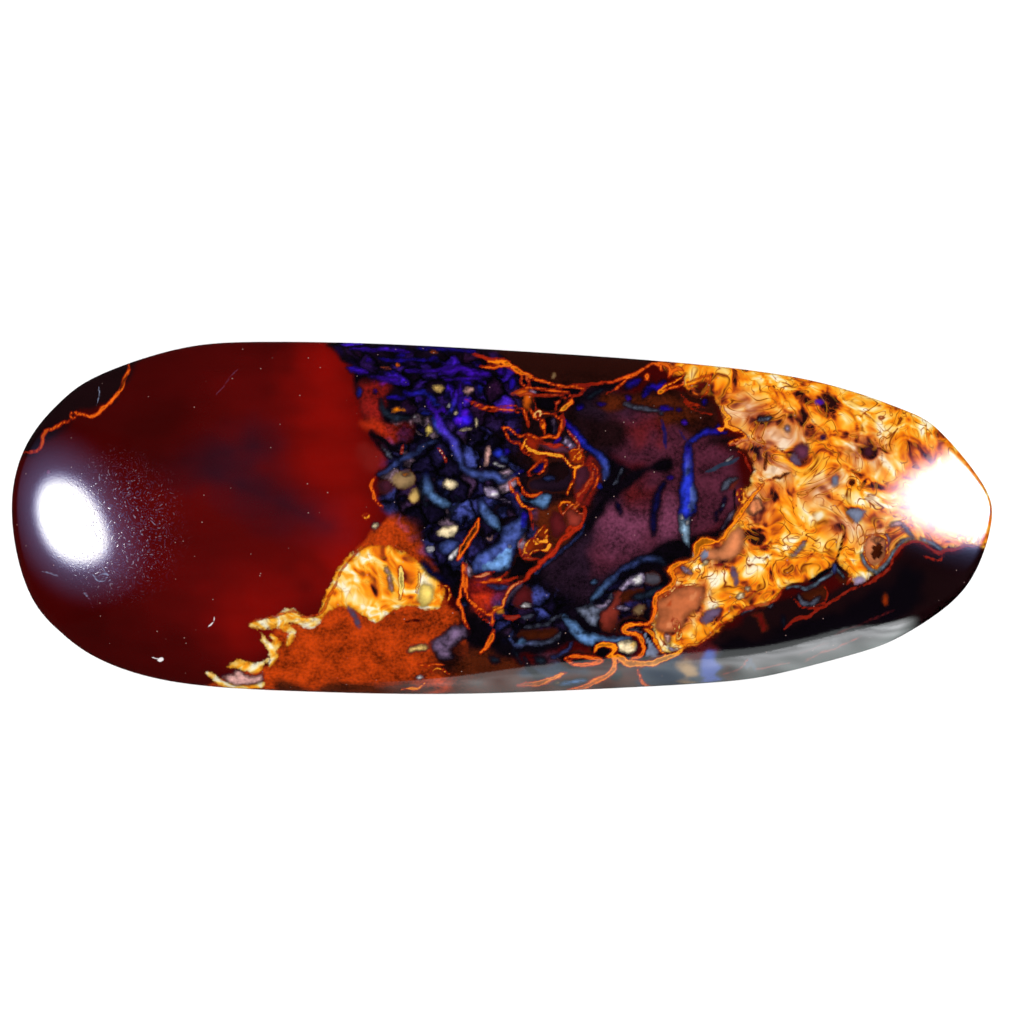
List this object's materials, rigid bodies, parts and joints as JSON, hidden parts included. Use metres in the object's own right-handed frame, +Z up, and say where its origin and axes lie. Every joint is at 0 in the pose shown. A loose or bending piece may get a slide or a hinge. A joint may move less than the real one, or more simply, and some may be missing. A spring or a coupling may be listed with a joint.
{
  "type": "polished boulder opal cabochon",
  "caption": "Long freeform cabochon of boulder opal in ironstone, with a low polished dome, rounded sides and a flat back.",
  "frame": {"origin": "centre of the bounding box on the plane of the flat back, which is the surface the stone rests on", "axes": "+X along the stone towards its narrower, flame-patterned end, +Z up from the flat back to the dome, +Y across the stone"},
  "size_m": [0.045, 0.0162, 0.0066],
  "materials": {
    "boulder_opal": "polished"
  },
  "bodies": {
    "root": {"boulder_opal": "boulder_opal"}
  },
  "joints": []
}
